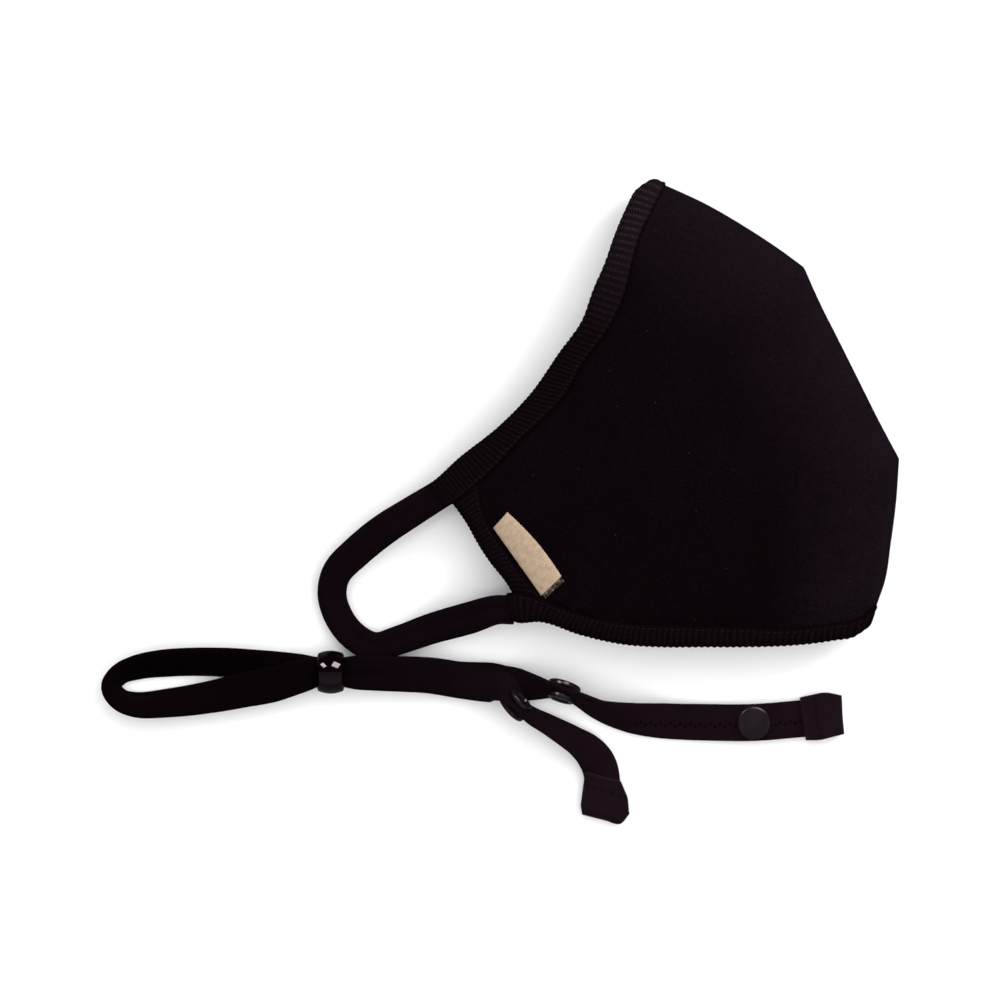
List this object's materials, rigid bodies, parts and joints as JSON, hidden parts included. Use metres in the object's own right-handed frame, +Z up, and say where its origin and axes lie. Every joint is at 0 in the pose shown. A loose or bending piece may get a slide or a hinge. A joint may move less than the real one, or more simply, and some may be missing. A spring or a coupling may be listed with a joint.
{
  "type": "child pollution mask",
  "caption": "Child's cloth pollution mask lying on its side: two-panel cup, rib bindings, ear loops, folded elastic head strap with bead and snaps.",
  "frame": {"origin": "under the middle of the whole object, on the surface that it lies on", "axes": "+X towards the nose side and the strap's right end, +Y towards the nose bridge, +Z up from the surface"},
  "size_m": [0.2232, 0.1818, 0.0267],
  "materials": {
    "microfibre": "matt",
    "rib_knit": "matt",
    "jersey": "matt",
    "knit_elastic": "matt",
    "hem_tape": "satin",
    "woven_label": "matt",
    "snap_plastic": "satin",
    "bead_plastic": "gloss"
  },
  "bodies": {
    "root": {"panel_right": "microfibre", "panel_left": "microfibre", "upper_binding": "rib_knit", "lower_binding": "rib_knit", "ear_edge_binding_right": "rib_knit", "ear_edge_binding_left": "rib_knit", "ear_loop_right": "jersey", "ear_loop_left": "jersey", "side_label": "woven_label", "head_strap": "knit_elastic", "strap_tab_right": "hem_tape", "strap_tab_lower": "hem_tape", "strap_bead": "bead_plastic", "snap_cap_end": "snap_plastic", "snap_socket_end": "snap_plastic", "snap_cap_upper": "snap_plastic", "snap_socket_upper": "snap_plastic", "snap_cap_lower": "snap_plastic", "snap_socket_lower": "snap_plastic"}
  },
  "joints": []
}
